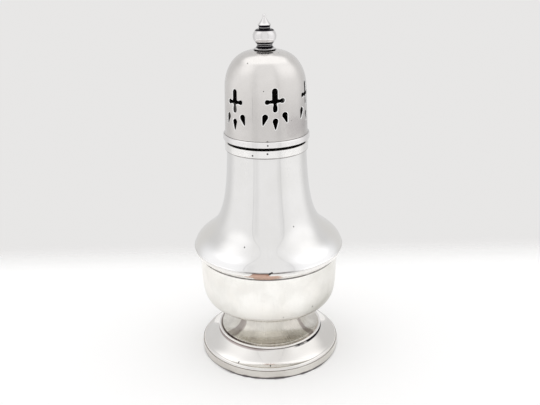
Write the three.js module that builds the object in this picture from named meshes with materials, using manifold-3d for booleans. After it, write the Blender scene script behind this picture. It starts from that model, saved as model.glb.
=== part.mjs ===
// Pepper caster in silver plate: a baluster body on a spreading foot, with a pierced cover that pulls off.
// Millimetres, +Z up. The origin is the centre of the foot's underside.

import * as THREE from 'three'
import { mergeVertices } from 'three/addons/utils/BufferGeometryUtils.js'
import Module from 'manifold-3d'

const wasm = await Module()
wasm.setup()

// Sheet and fits
const FOOT_WALL = 0.8
const BODY_WALL = 0.9
const COVER_WALL = 0.8
const BEZEL_WALL = 0.7
const BEZEL_CLEARANCE = 0.2
const PEG_CLEARANCE = 0.2

// In all curves, a pull is how far the curve is drawn out in the direction of its end, and a lean is how far
// that direction is out of upright

// Foot: a flat-sided band, then a rolled edge that runs up in a shallow cove, and the stepped ring on top
const FOOT_RADIUS = 26.15
const FOOT_RIM_HEIGHT = 2.9
const FOOT_RIM_WIDTH = 1.8
const FOOT_RIM_BEVEL = 0.25
const FOOT_STEP = 0.35
const FOOT_DOME_HEIGHT = 5.1
const ROLL_WIDTH = 0.8
const ROLL_HEIGHT = 0.95
const ROLL_PULL = 0.45
const COVE_TOE_PULL = 1.2
const COVE_TOE_SLOPE = 0.3
const COVE_TOP_PULL = 1.8
const COVE_TOP_SLOPE = 1.1
const RING_RADIUS = 19.7
const RING_PROJECTION = 0.4
const RING_HEIGHT = 1.0
const RING_LIP = 1.0
const RING_LEDGE_WIDTH = 2.0
const RING_LEDGE_DEPTH = 0.45

// Stem: a hollow turned in under the bowl
const STEM_FLANGE_INSET = 0.3
const STEM_FLANGE_HEIGHT = 0.75
const STEM_FLANGE_WIDTH = 0.6
const STEM_RISE = 10.35
const STEM_WAIST_RADIUS = 11.4
const STEM_WAIST_DROP = 1.85
const STEM_WAIST_PULL = 3.6
const STEM_FOOT_PULL = 3.8
const STEM_FOOT_RISE = 0.3
const STEM_TOP_PROJECTION = 0.8

// Body: bowl below, girdle at the joint, bell above and a collar round the mouth
const BOWL_RADIUS = 25.4
const BOWL_HEIGHT = 20.6
const BOWL_FLAT_MARGIN = 0.4
const BOWL_BELLY_HEIGHT = 12.1
const BOWL_TAPER = 0.2
const BOWL_SIDE_PULL = 9.8
const BOWL_SIDE_LEAN = 0.3
const BOWL_KNUCKLE_INSET = 1.8
const BOWL_KNUCKLE_RISE = 0.6
const GIRDLE_PROJECTION = 1.7
const GIRDLE_HEIGHT = 3.0
const GIRDLE_STEP = 0.3
const GIRDLE_STEP_HEIGHT = 0.7
const GIRDLE_STEP_BEVEL = 0.4
const GIRDLE_COVE_PULL = 0.6
const GIRDLE_BEAD_PULL = 0.9
const GIRDLE_BEAD_DROP = 0.7
const GIRDLE_BEAD_ROUND = 0.2
const LIP_PROJECTION = 0.3
const LIP_HEIGHT = 0.6
const LIP_BEVEL = 0.2
const BELL_HEIGHT = 36.6
const BELL_FOOT_PULL = 3.2
const BELL_FOOT_LEAN = 0.6
const BELL_SHOULDER_HEIGHT = 7.9
const BELL_SHOULDER_PROJECTION = 6.4
const BELL_SHOULDER_SLOPE = 0.94
const BELL_SHOULDER_LOWER_PULL = 2.9
const BELL_SHOULDER_UPPER_PULL = 4.4
const BELL_NECK_PULL = 16
const BELL_NECK_LEAN = 0.5
const NECK_RADIUS = 14.1
const COLLAR_PROJECTION = 0.6
const COLLAR_HEIGHT = 2.9
const COLLAR_ROUND = 0.5

// Cover: bezel, moulded rim and pierced dome
const BEZEL_DEPTH = 9
const BEZEL_SHOULDER_HEIGHT = 1.2
const BEZEL_SHOULDER_INSET = 0.8
const BEZEL_LEAD_IN = 0.4
const RIM_PROJECTION = 0.5
const RIM_HEIGHT = 1.85
const RIM_ROUND = 0.55
const RIM_LEDGE = 0.35
const DOME_FLARE = 0.4
const DOME_FLARE_HEIGHT = 1.6
const DOME_FLARE_PULL = 0.5
const DOME_WALL_HEIGHT = 15.95
const DOME_TAPER = 0.4
const DOME_SHOULDER_PULL = 7.4
const DOME_SHOULDER_LEAN = 0.3
const DOME_HEIGHT = 28.15
const CROWN_RADIUS = 3.5
const CROWN_PULL = 6.2
const CROWN_FALL = 0.1

// Piercing: budded crosses with three drops under each
const MOTIFS = 6
const MOTIF_TURN = 12.5
const BACK_MOTIF = 3
const BACK_MOTIF_DRIFT = 7.5
const PIERCING_SLOPE = 0.06
const CROSS_HEIGHT = 13.2
const CROSS_UPPER_LENGTH = 4.3
const CROSS_UPPER_WIDTH = 2.0
const CROSS_ARM_LENGTH = 3.45
const CROSS_LOWER_LENGTH = 3.6
const CROSS_LOWER_BUD_LENGTH = 2.4
const CROSS_NECK_WIDTH = 1.1
const CROSS_BUD_WIDTH = 1.6
const DROP_HEIGHT = 5.7
const DROP_WIDTH = 2.0
const DROP_LENGTH = 3.8
const DROP_TIP_WIDTH = 0.5
const DROP_BELLY_DROP = 0.45
const SIDE_DROP_SPREAD = 3.65
const SIDE_DROP_RAISE = 1.7
const SIDE_DROP_LEAN = 17

// Finial: a flanged seat, then a cast ball and spire between ringed necks, with a peg through the crown
const SEAT_MARGIN = 0.2
const SEAT_PROJECTION = 0.45
const SEAT_EDGE_HEIGHT = 0.25
const SEAT_EDGE_BEVEL = 0.1
const SEAT_HEIGHT = 0.85
const SEAT_TAPER = 1.15
const FINIAL_FOOT_INSET = 0.1
const FINIAL_NECK_INSET = 0.35
const FINIAL_NECK_HEIGHT = 1.8
const FINIAL_RING_RISE = 0.6
const FINIAL_RING_HEIGHT = 0.6
const FINIAL_RING_PROJECTION = 0.4
const BALL_RADIUS = 4.0
const BALL_HALF_HEIGHT = 2.6
const BALL_BELOW_MIDDLE = 1.95
const BALL_ABOVE_MIDDLE = 2.1
const SPIRE_NECK_INSET = 0.3
const BALL_EDGE_STEP = 0.2
const SPIRE_RIM_RADIUS = 2.05
const SPIRE_RIM_RISE = 1.45
const SPIRE_STEP = 0.1
const SPIRE_HEIGHT = 2.55
const SPIRE_FOOT_PULL = 0.75
const SPIRE_TOP_PULL = 0.95
const SPIRE_TOP_LEAN = 0.25
const SPIRE_TOP_RADIUS = 0.37
const TIP_RADIUS = 0.5
const TIP_RISE = 0.35
const PEG_RADIUS = 1.2
const PEG_HEAD_RADIUS = 2.1
const PEG_HEAD_HEIGHT = 0.8

// Facets
const TURN_STEPS = 36
const FINIAL_STEPS = 20
const CURVE_STEPS = 4
const DOME_STEPS = 7
const BOWL_STEPS = 8
const BELL_STEPS = 6
const BALL_STEPS = 12
const PUNCH_STEPS = 3

// Heights of the joints, each on top of the piece below it
const footRimTop = FOOT_RIM_HEIGHT
const footDomeTop = footRimTop + FOOT_DOME_HEIGHT
const ringTop = footDomeTop + RING_HEIGHT
const ringLedge = ringTop - RING_LEDGE_DEPTH
const stemTop = ringLedge + STEM_RISE
const bowlTop = stemTop + BOWL_HEIGHT
const girdleTop = bowlTop + GIRDLE_HEIGHT
const bellTop = girdleTop + BELL_HEIGHT
const collarTop = bellTop + COLLAR_HEIGHT
const bezelTop = collarTop + BEZEL_SHOULDER_HEIGHT
const rimTop = bezelTop + RIM_HEIGHT
const domeTop = rimTop + DOME_HEIGHT
const seatTop = domeTop + SEAT_HEIGHT

// Radii that follow from the pieces they sit on
const footDomeTopRadius = RING_RADIUS - RING_PROJECTION
const stemTopRadius = STEM_WAIST_RADIUS + STEM_TOP_PROJECTION
const bowlFlatRadius = stemTopRadius + BOWL_FLAT_MARGIN
const girdleRadius = BOWL_RADIUS + GIRDLE_PROJECTION
const lipRadius = girdleRadius + LIP_PROJECTION
const collarRadius = NECK_RADIUS + COLLAR_PROJECTION
const rimRadius = collarRadius + RIM_PROJECTION
const domeFootRadius = rimRadius - RIM_LEDGE
const domeRadius = domeFootRadius - DOME_FLARE
const seatFootRadius = CROWN_RADIUS - SEAT_MARGIN
const seatRadius = seatFootRadius + SEAT_PROJECTION
const seatTopRadius = seatRadius - SEAT_TAPER

// Radii that fits decide
const boreRadius = NECK_RADIUS - BODY_WALL
const bezelRadius = boreRadius - BEZEL_CLEARANCE
const bezelBore = bezelRadius - BEZEL_WALL
const pegHole = PEG_RADIUS + PEG_CLEARANCE

const silver = (colour, roughness) =>
  new THREE.MeshStandardMaterial({ color: colour, roughness, metalness: 1 })

// A point of a turned profile: distance from the axis, then height
const at = (radius, height) => new THREE.Vector2(radius, height)

// Points along a curve that leaves `start` towards `startPull` and reaches `end` from `endPull`
function sweep(start, startPull, endPull, end, steps = CURVE_STEPS) {
  return new THREE.CubicBezierCurve(start, startPull, endPull, end).getPoints(steps)
}

// Points up the outer half of an ellipse about `centre`
function halfRound(centre, radiusX, radiusY, steps = CURVE_STEPS) {
  return new THREE.EllipseCurve(
    centre.x, centre.y, radiusX, radiusY, -Math.PI / 2, Math.PI / 2
  ).getPoints(steps)
}

// Height-limited copy of a line of points, cut where it crosses `low` and `high`
function between(points, low, high) {
  const kept = []
  points.forEach((point, i) => {
    const last = points[i - 1]
    for (const limit of [low, high]) {
      if (last && (last.y - limit) * (point.y - limit) < 0) {
        kept.push(last.clone().lerp(point, (limit - last.y) / (point.y - last.y)))
      }
    }
    if (point.y >= low && point.y <= high) kept.push(point)
  })
  return kept
}

// The inner face of a sheet whose outer face is `outer`, listed upwards: moved in by the wall, and drawn out
// at both ends so that it can be cut level
function innerFace(outer, wall) {
  const moved = outer.map((point, i) => {
    const before = outer[Math.max(i - 1, 0)]
    const after = outer[Math.min(i + 1, outer.length - 1)]
    const along = after.clone().sub(before).normalize()
    return at(point.x - along.y * wall, point.y + along.x * wall)
  })
  const reach = (end, next) => end.clone().add(end.clone().sub(next).setLength(2 * wall))
  return [reach(moved[0], moved[1]), ...moved, reach(moved.at(-1), moved.at(-2))]
}

// The closed section of a sheet with flat ends at the heights where its outer face ends
function sheet(outer, wall) {
  const inner = between(innerFace(outer, wall), outer[0].y, outer.at(-1).y)
  return [...outer, ...inner.reverse()]
}

// One closed skin: shared points merged and faces without area left out
function weld(geometry) {
  geometry.deleteAttribute('normal')
  geometry.deleteAttribute('uv')
  const merged = mergeVertices(geometry, 1e-4)
  const index = merged.getIndex().array
  const kept = []
  for (let i = 0; i < index.length; i += 3) {
    const [a, b, c] = [index[i], index[i + 1], index[i + 2]]
    if (a !== b && b !== c && c !== a) kept.push(a, b, c)
  }
  merged.setIndex(kept)
  return merged
}

// A turned piece. The profile runs up its outer side and comes back inside, or starts and ends on the axis
function turned(profile, steps = TURN_STEPS) {
  const closes = profile[0].x === 0
  const outline = closes ? profile : [...profile, profile[0].clone()]
  const geometry = new THREE.LatheGeometry(outline, steps)
  geometry.rotateX(Math.PI / 2)
  return weld(geometry)
}

function piece(name, geometry, material) {
  geometry.computeVertexNormals()
  const mesh = new THREE.Mesh(geometry, material)
  mesh.name = name
  return mesh
}

function toSolid(geometry) {
  const welded = weld(geometry)
  return new wasm.Manifold(new wasm.Mesh({
    numProp: 3,
    vertProperties: new Float32Array(welded.getAttribute('position').array),
    triVerts: new Uint32Array(welded.getIndex().array),
  }))
}

function toGeometry(solid) {
  const mesh = solid.getMesh()
  const geometry = new THREE.BufferGeometry()
  geometry.setAttribute('position', new THREE.BufferAttribute(mesh.vertProperties, 3))
  geometry.setIndex(new THREE.BufferAttribute(mesh.triVerts, 1))
  return geometry
}

// Foot

function footRim() {
  const inner = FOOT_RADIUS - FOOT_RIM_WIDTH
  return turned([
    at(inner, 0),
    at(FOOT_RADIUS - FOOT_RIM_BEVEL, 0),
    at(FOOT_RADIUS, FOOT_RIM_BEVEL),
    at(FOOT_RADIUS, footRimTop - FOOT_RIM_BEVEL),
    at(FOOT_RADIUS - FOOT_RIM_BEVEL, footRimTop),
    at(inner, footRimTop),
  ])
}

function footDome() {
  const start = at(FOOT_RADIUS - FOOT_STEP, footRimTop)
  const toe = at(start.x - ROLL_WIDTH, footRimTop + ROLL_HEIGHT)
  const end = at(footDomeTopRadius, footDomeTop)
  const roll = sweep(start, at(start.x, start.y + ROLL_PULL), at(toe.x + ROLL_PULL, toe.y), toe)
  const cove = sweep(
    toe,
    at(toe.x - COVE_TOE_PULL, toe.y + COVE_TOE_SLOPE * COVE_TOE_PULL),
    at(end.x + COVE_TOP_PULL, end.y - COVE_TOP_SLOPE * COVE_TOP_PULL),
    end
  )
  return turned(sheet([...roll, ...cove.slice(1)], FOOT_WALL))
}

function footRing() {
  const ledgeEdge = RING_RADIUS - RING_LIP
  const lip = at(RING_RADIUS - RING_LIP / 2, footDomeTop + RING_HEIGHT / 2)
  return turned([
    at(ledgeEdge - RING_LEDGE_WIDTH, footDomeTop),
    ...halfRound(lip, RING_LIP / 2, RING_HEIGHT / 2),
    at(ledgeEdge, ringLedge),
    at(ledgeEdge - RING_LEDGE_WIDTH, ringLedge),
  ])
}

function footStem() {
  const flange = RING_RADIUS - RING_LIP - STEM_FLANGE_INSET
  const foot = at(flange - STEM_FLANGE_WIDTH, ringLedge + STEM_FLANGE_HEIGHT)
  const waist = at(STEM_WAIST_RADIUS, stemTop - STEM_WAIST_DROP)
  const hollow = [
    ...sweep(
      foot,
      at(foot.x - STEM_FOOT_PULL, foot.y + STEM_FOOT_RISE),
      at(waist.x, waist.y - STEM_WAIST_PULL),
      waist
    ),
    at(stemTopRadius, stemTop),
  ]
  const inner = between(innerFace(hollow, FOOT_WALL), ringLedge, stemTop)
  return turned([at(flange, ringLedge), at(flange, foot.y), ...hollow, ...inner.reverse()])
}

// Body

function lowerBody() {
  const belly = at(BOWL_RADIUS - BOWL_TAPER, stemTop + BOWL_BELLY_HEIGHT)
  const outer = [
    ...sweep(
      at(bowlFlatRadius, stemTop),
      at(BOWL_RADIUS - BOWL_KNUCKLE_INSET, stemTop + BOWL_KNUCKLE_RISE),
      at(belly.x - BOWL_SIDE_LEAN, belly.y - BOWL_SIDE_PULL),
      belly,
      BOWL_STEPS
    ),
    at(BOWL_RADIUS, bowlTop),
  ]
  const inner = between(innerFace(outer, BODY_WALL), stemTop + BODY_WALL, bowlTop)
  return turned([at(0, stemTop), ...outer, ...inner.reverse(), at(0, stemTop + BODY_WALL)])
}

function girdle() {
  const inner = BOWL_RADIUS - BODY_WALL
  const step = at(BOWL_RADIUS + GIRDLE_STEP, bowlTop + GIRDLE_STEP_HEIGHT)
  const bead = at(girdleRadius, girdleTop - GIRDLE_BEAD_DROP)
  return turned([
    at(inner, bowlTop),
    at(BOWL_RADIUS, bowlTop),
    at(step.x, bowlTop + GIRDLE_STEP_BEVEL),
    ...sweep(step, at(step.x + GIRDLE_COVE_PULL, step.y), at(bead.x, bead.y - GIRDLE_BEAD_PULL), bead),
    at(girdleRadius - GIRDLE_BEAD_ROUND, girdleTop),
    at(inner, girdleTop),
  ])
}

function upperBody() {
  const lipTop = girdleTop + LIP_HEIGHT
  const foot = at(lipRadius - LIP_BEVEL, lipTop)
  const shoulder = at(NECK_RADIUS + BELL_SHOULDER_PROJECTION, girdleTop + BELL_SHOULDER_HEIGHT)
  const downwards = at(1, -BELL_SHOULDER_SLOPE)
  const lower = sweep(
    foot,
    at(foot.x - BELL_FOOT_LEAN, foot.y + BELL_FOOT_PULL),
    shoulder.clone().addScaledVector(downwards, BELL_SHOULDER_LOWER_PULL),
    shoulder
  )
  const upper = sweep(
    shoulder,
    shoulder.clone().addScaledVector(downwards, -BELL_SHOULDER_UPPER_PULL),
    at(NECK_RADIUS + BELL_NECK_LEAN, bellTop - BELL_NECK_PULL),
    at(NECK_RADIUS, bellTop),
    BELL_STEPS
  )
  const flare = [...lower, ...upper.slice(1)]
  const inner = between(innerFace(flare, BODY_WALL), girdleTop, bellTop)
  return turned([
    at(foot.x, girdleTop),
    at(lipRadius, girdleTop + LIP_BEVEL),
    at(lipRadius, lipTop - LIP_BEVEL),
    ...flare,
    ...inner.reverse(),
  ])
}

function neckCollar() {
  const round = COLLAR_ROUND
  return turned([
    at(boreRadius, bellTop),
    at(collarRadius - round, bellTop),
    at(collarRadius, bellTop + round),
    at(collarRadius, collarTop - round),
    at(collarRadius - round, collarTop),
    at(boreRadius, collarTop),
  ])
}

// Cover

function coverBezel() {
  const bottom = collarTop - BEZEL_DEPTH
  const shoulder = collarRadius - BEZEL_SHOULDER_INSET
  return turned([
    at(bezelBore, bottom),
    at(bezelRadius - BEZEL_LEAD_IN, bottom),
    at(bezelRadius, bottom + BEZEL_LEAD_IN),
    at(bezelRadius, collarTop),
    at(shoulder, collarTop),
    at(shoulder, bezelTop),
    at(bezelBore, bezelTop),
  ])
}

function coverRim() {
  return turned([
    at(bezelRadius, bezelTop),
    at(rimRadius - RIM_ROUND, bezelTop),
    at(rimRadius, bezelTop + RIM_ROUND),
    at(rimRadius, rimTop - RIM_ROUND),
    at(rimRadius - RIM_ROUND / 2, rimTop),
    at(bezelRadius, rimTop),
  ])
}

// Outer face of the dome, from its foot to the flat of the crown
function domeFace() {
  const foot = at(domeFootRadius, rimTop)
  const wallFoot = at(domeRadius, rimTop + DOME_FLARE_HEIGHT)
  const spring = at(domeRadius - DOME_TAPER, rimTop + DOME_WALL_HEIGHT)
  const crown = at(CROWN_RADIUS, domeTop)
  const flare = sweep(
    foot,
    at(domeRadius, foot.y + DOME_FLARE_PULL),
    at(domeRadius, wallFoot.y - DOME_FLARE_PULL),
    wallFoot
  )
  const cap = sweep(
    spring,
    at(spring.x - DOME_SHOULDER_LEAN, spring.y + DOME_SHOULDER_PULL),
    at(crown.x + CROWN_PULL, domeTop - CROWN_FALL),
    crown,
    DOME_STEPS
  )
  return [...flare, ...cap]
}

function domeShell() {
  const outer = domeFace()
  const inner = between(innerFace(outer, COVER_WALL), rimTop, domeTop - COVER_WALL)
  return turned([
    ...outer,
    at(pegHole, domeTop),
    at(pegHole, domeTop - COVER_WALL),
    ...inner.reverse(),
  ])
}

// A punch with the outline of a shape drawn at the origin, +X to the side and +Y up, pushed in from the front
function punch(shape, side, height) {
  const depth = domeFootRadius
  const options = { depth, bevelEnabled: false, curveSegments: PUNCH_STEPS }
  const geometry = new THREE.ExtrudeGeometry(shape, options)
  geometry.rotateX(Math.PI / 2)
  geometry.translate(side, -domeRadius / 2, height)
  return toSolid(geometry)
}

// A bar along +Y with a round end, from `start` to `length`
function bar(width, start, length) {
  const half = width / 2
  const shape = new THREE.Shape()
  shape.moveTo(-half, start)
  shape.lineTo(half, start)
  shape.absarc(0, length - half, half, 0, Math.PI, false)
  shape.closePath()
  return shape
}

// A drop with its round end up
function drop() {
  const half = DROP_WIDTH / 2
  const round = DROP_LENGTH / 2 - half
  const tip = DROP_TIP_WIDTH / 2
  const shape = new THREE.Shape()
  shape.moveTo(half, round)
  shape.absarc(0, round, half, 0, Math.PI, false)
  shape.quadraticCurveTo(-half, -DROP_BELLY_DROP, -tip, -DROP_LENGTH / 2)
  shape.lineTo(tip, -DROP_LENGTH / 2)
  shape.quadraticCurveTo(half, -DROP_BELLY_DROP, half, round)
  return shape
}

function turnedShape(shape, degrees) {
  const points = shape.getPoints(PUNCH_STEPS)
  const angle = THREE.MathUtils.degToRad(degrees)
  return new THREE.Shape(points.map((point) => point.rotateAround(at(0, 0), angle)))
}

// A rounded bud along +Y, ending at `reach`
function capsule(width, length, reach) {
  const half = width / 2
  const shape = new THREE.Shape()
  shape.absarc(0, reach - half, half, 0, Math.PI, false)
  shape.absarc(0, reach - length + half, half, Math.PI, 2 * Math.PI, false)
  return shape
}

// One cross and its three drops, as a single cutter at the front of the dome
function motif() {
  const crossHeight = rimTop + CROSS_HEIGHT
  const dropHeight = rimTop + DROP_HEIGHT
  const budRadius = CROSS_BUD_WIDTH / 2
  const strokes = [
    bar(CROSS_UPPER_WIDTH, -CROSS_NECK_WIDTH / 2, CROSS_UPPER_LENGTH),
    turnedShape(bar(CROSS_NECK_WIDTH, 0, CROSS_LOWER_LENGTH - budRadius), 180),
    turnedShape(capsule(CROSS_BUD_WIDTH, CROSS_LOWER_BUD_LENGTH, CROSS_LOWER_LENGTH), 180),
    ...[90, -90].flatMap((degrees) => [
      turnedShape(bar(CROSS_NECK_WIDTH, 0, CROSS_ARM_LENGTH - budRadius), degrees),
      turnedShape(capsule(CROSS_BUD_WIDTH, CROSS_BUD_WIDTH, CROSS_ARM_LENGTH), degrees),
    ]),
  ]
  const cutters = strokes.map((stroke) => punch(stroke, 0, crossHeight))
  cutters.push(punch(drop(), 0, dropHeight))
  for (const side of [-1, 1]) {
    const shape = turnedShape(drop(), side * SIDE_DROP_LEAN)
    cutters.push(punch(shape, side * SIDE_DROP_SPREAD, dropHeight + SIDE_DROP_RAISE))
  }
  return cutters.reduce((all, next) => all.add(next))
}

// All the motifs round the axis, upright. As in hand piercing, their line climbs a little to the right, and the
// one at the back is off its place, where no light shows through it from the front
function piercing() {
  const cutter = motif()
  const climb = new THREE.Matrix4().makeShear(0, PIERCING_SLOPE, 0, 0, 0, 0)
  const turns = Array.from({ length: MOTIFS }, (_, i) => MOTIF_TURN + (i * 360) / MOTIFS)
  turns[BACK_MOTIF] += BACK_MOTIF_DRIFT
  return turns
    .map((turn) => cutter.rotate([0, 0, turn]))
    .reduce((all, next) => all.add(next))
    .transform(climb.elements)
}

function coverDome() {
  return toGeometry(toSolid(domeShell()).subtract(piercing()))
}

function finialSeat() {
  return turned([
    at(pegHole, domeTop),
    at(seatFootRadius, domeTop),
    at(seatRadius, domeTop + SEAT_EDGE_HEIGHT),
    at(seatRadius - SEAT_EDGE_BEVEL, domeTop + 2 * SEAT_EDGE_HEIGHT),
    at(seatTopRadius, seatTop),
    at(pegHole, seatTop),
  ], FINIAL_STEPS)
}

function finial() {
  const crownInside = domeTop - COVER_WALL
  const neckRadius = seatTopRadius - FINIAL_NECK_INSET
  const neckTop = seatTop + FINIAL_NECK_HEIGHT
  const ringMiddle = seatTop + FINIAL_RING_RISE
  const ballMiddle = neckTop + BALL_BELOW_MIDDLE
  const ballTop = ballMiddle + BALL_ABOVE_MIDDLE
  const ball = halfRound(at(0, ballMiddle), BALL_RADIUS, BALL_HALF_HEIGHT, BALL_STEPS)
  const spireRim = at(SPIRE_RIM_RADIUS, ballTop + SPIRE_RIM_RISE)
  const spireNeck = spireRim.x - SPIRE_NECK_INSET
  const spireFoot = at(spireRim.x, spireRim.y + SPIRE_STEP)
  const spireTop = at(SPIRE_TOP_RADIUS, spireFoot.y + SPIRE_HEIGHT)
  const tipMiddle = spireTop.y + TIP_RISE
  const tip = halfRound(at(0, tipMiddle), TIP_RADIUS, TIP_RADIUS)
  return turned([
    at(0, crownInside - PEG_HEAD_HEIGHT),
    at(PEG_HEAD_RADIUS, crownInside - PEG_HEAD_HEIGHT),
    at(PEG_HEAD_RADIUS, crownInside),
    at(PEG_RADIUS, crownInside),
    at(PEG_RADIUS, seatTop),
    at(seatTopRadius - FINIAL_FOOT_INSET, seatTop),
    at(neckRadius, ringMiddle - FINIAL_RING_HEIGHT / 2),
    at(neckRadius + FINIAL_RING_PROJECTION, ringMiddle),
    at(neckRadius, ringMiddle + FINIAL_RING_HEIGHT / 2),
    at(neckRadius, neckTop - BALL_EDGE_STEP),
    ...between(ball, neckTop, ballTop),
    at(spireNeck, ballTop + BALL_EDGE_STEP),
    at(spireNeck, spireRim.y - SPIRE_STEP),
    spireRim,
    ...sweep(
      spireFoot,
      at(spireFoot.x - SPIRE_FOOT_PULL, spireFoot.y + SPIRE_FOOT_PULL),
      at(spireTop.x + SPIRE_TOP_LEAN, spireTop.y - SPIRE_TOP_PULL),
      spireTop
    ),
    ...between(tip, spireTop.y, tipMiddle + TIP_RADIUS).slice(1),
  ], FINIAL_STEPS)
}

const plate = silver(0xdad7d2, 0.14)
const cast = silver(0xcfcac2, 0.2)
const foot = silver(0xc9c4ba, 0.18)

const body = new THREE.Group()
body.add(
  piece('foot_rim', footRim(), foot),
  piece('foot_dome', footDome(), foot.clone()),
  piece('foot_ring', footRing(), foot.clone()),
  piece('foot_stem', footStem(), foot.clone()),
  piece('lower_body', lowerBody(), plate),
  piece('girdle', girdle(), plate.clone()),
  piece('upper_body', upperBody(), plate.clone()),
  piece('neck_collar', neckCollar(), plate.clone())
)

const cover = new THREE.Group()
cover.add(
  piece('cover_bezel', coverBezel(), plate.clone()),
  piece('cover_rim', coverRim(), plate.clone()),
  piece('cover_dome', coverDome(), plate.clone()),
  piece('finial_seat', finialSeat(), cast),
  piece('finial', finial(), cast.clone())
)

const caster = new THREE.Group()
caster.add(body, cover)

export default caster
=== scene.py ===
"""Pepper caster in worn silver plate: fine skins, pierced dome, finishes, light and camera.

All is drawn in the CAD frame, +Z up, in millimetres, and scaled to metres when a mesh is made.
A turn round the axis is 0 in front and grows to the right.
"""

from functools import partial, reduce
from math import asin, copysign, cos, hypot, pi, radians, sin, sqrt

import bpy
import numpy as np
from mathutils import Matrix, Vector
from mathutils.geometry import delaunay_2d_cdt


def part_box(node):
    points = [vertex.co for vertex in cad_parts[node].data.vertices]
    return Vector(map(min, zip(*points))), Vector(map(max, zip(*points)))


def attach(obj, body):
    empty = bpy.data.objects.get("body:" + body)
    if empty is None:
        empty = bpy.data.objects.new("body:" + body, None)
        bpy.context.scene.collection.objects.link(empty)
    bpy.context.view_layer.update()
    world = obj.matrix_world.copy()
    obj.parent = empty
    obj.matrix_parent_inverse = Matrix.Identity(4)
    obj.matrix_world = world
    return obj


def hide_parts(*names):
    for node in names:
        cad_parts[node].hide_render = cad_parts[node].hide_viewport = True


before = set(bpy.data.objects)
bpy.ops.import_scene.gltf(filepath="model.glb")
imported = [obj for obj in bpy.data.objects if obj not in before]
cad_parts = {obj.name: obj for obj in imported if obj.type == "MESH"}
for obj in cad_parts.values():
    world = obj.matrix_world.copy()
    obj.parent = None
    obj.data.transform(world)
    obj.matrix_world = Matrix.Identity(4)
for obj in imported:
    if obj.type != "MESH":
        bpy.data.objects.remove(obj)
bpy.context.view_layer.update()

MM = 0.001
# A length under this, in mm, counts as none
TINY = 1e-6

# Camera
CAMERA_PLACE = (-0.25, -233.0, 147.8)
CAMERA_LENS = 45.5
CAMERA_DOWN = 21.08
CAMERA_YAW = 0.27
CAMERA_ROLL = -1.0

# Sheet and its rounded edges
FOOT_WALL = 0.8
BODY_WALL = 0.9
COVER_WALL = 0.8
EDGE = 0.14

# Facets of the turned skins
TURN_STEPS = 144
FINIAL_STEPS = 72


# Levels and radii, from the frame

def sizes(node):
    """A node's radius and the heights of its foot and top."""
    low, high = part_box(node)
    return high.x / MM, low.z / MM, high.z / MM


FOOT_RADIUS, _, FOOT_RIM_TOP = sizes("foot_rim")
FOOT_DOME_RADIUS, _, FOOT_DOME_TOP = sizes("foot_dome")
RING_RADIUS, _, RING_TOP = sizes("foot_ring")
FLANGE_RADIUS, RING_LEDGE, STEM_TOP = sizes("foot_stem")
BOWL_RADIUS, _, BOWL_TOP = sizes("lower_body")
GIRDLE_RADIUS, _, GIRDLE_TOP = sizes("girdle")
LIP_RADIUS, _, BELL_TOP = sizes("upper_body")
COLLAR_RADIUS, _, COLLAR_TOP = sizes("neck_collar")
BEZEL_SHOULDER, BEZEL_BOTTOM, BEZEL_TOP = sizes("cover_bezel")
RIM_RADIUS, _, RIM_TOP = sizes("cover_rim")
DOME_FOOT_RADIUS, _, DOME_TOP = sizes("cover_dome")
SEAT_RADIUS, _, SEAT_TOP = sizes("finial_seat")
BALL_RADIUS, FINIAL_FOOT, TIP = sizes("finial")

# Levels and radii of the forms inside a piece
BAND_WIDTH = 1.8
WAIST_RADIUS = 11.4
BOWL_FOOT_RADIUS = 12.6
NECK_RADIUS = COLLAR_RADIUS - 0.6
BORE = NECK_RADIUS - BODY_WALL
BEZEL_RADIUS = BORE - 0.2
BEZEL_BORE = BEZEL_RADIUS - 0.7
PEG_HOLE = 1.4
PEG_RADIUS = 1.2
BURR_RADIUS = 2.1
NECK_TOP = SEAT_TOP + 1.4
BALL_HALF_HEIGHT = 3.2
BALL_TOP = NECK_TOP + 4.5
SPIRE_FOOT = BALL_TOP + 1.4
SPIRE_RADIUS = 2.25


# Profiles: points (radius, height)

def limited(value, low, high):
    return max(low, min(high, value))


def sweep(start, start_pull, end_pull, end, steps=16):
    """Points along a curve that leaves start towards start_pull and reaches end from end_pull."""
    points = []
    for i in range(steps + 1):
        t = i / steps
        s = 1 - t
        weights = (s**3, 3 * s * s * t, 3 * s * t * t, t**3)
        pulls = (start, start_pull, end_pull, end)
        points.append(tuple(sum(w * p[k] for w, p in zip(weights, pulls)) for k in (0, 1)))
    return points


def half_round(middle, radius, half_height, steps=16):
    """Points up the outer half of an ellipse."""
    turns = [pi * (i / steps - 0.5) for i in range(steps + 1)]
    return [(middle[0] + radius * cos(a), middle[1] + half_height * sin(a)) for a in turns]


def between(points, low, high):
    """The part of a line of points between two heights."""
    kept = []
    for last, point in zip([None] + points[:-1], points):
        if last:
            for limit in (low, high):
                if (last[1] - limit) * (point[1] - limit) < 0:
                    share = (limit - last[1]) / (point[1] - last[1])
                    kept.append((last[0] + (point[0] - last[0]) * share, limit))
        if low <= point[1] <= high:
            kept.append(point)
    return kept


def lining(outer, wall, low, high):
    """A sheet's inner face, a wall inside its outer face and cut level at two heights, from the top down."""
    moved = []
    for i, point in enumerate(outer):
        before = outer[max(i - 1, 0)]
        after = outer[min(i + 1, len(outer) - 1)]
        dx, dz = after[0] - before[0], after[1] - before[1]
        length = hypot(dx, dz)
        moved.append((point[0] - dz / length * wall, point[1] + dx / length * wall))

    def drawn_out(end, following):
        dx, dz = end[0] - following[0], end[1] - following[1]
        length = hypot(dx, dz)
        return end[0] + dx / length * 2 * wall, end[1] + dz / length * 2 * wall

    whole = [drawn_out(moved[0], moved[1]), *moved, drawn_out(moved[-1], moved[-2])]
    return between(whole, low, high)[::-1]


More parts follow.
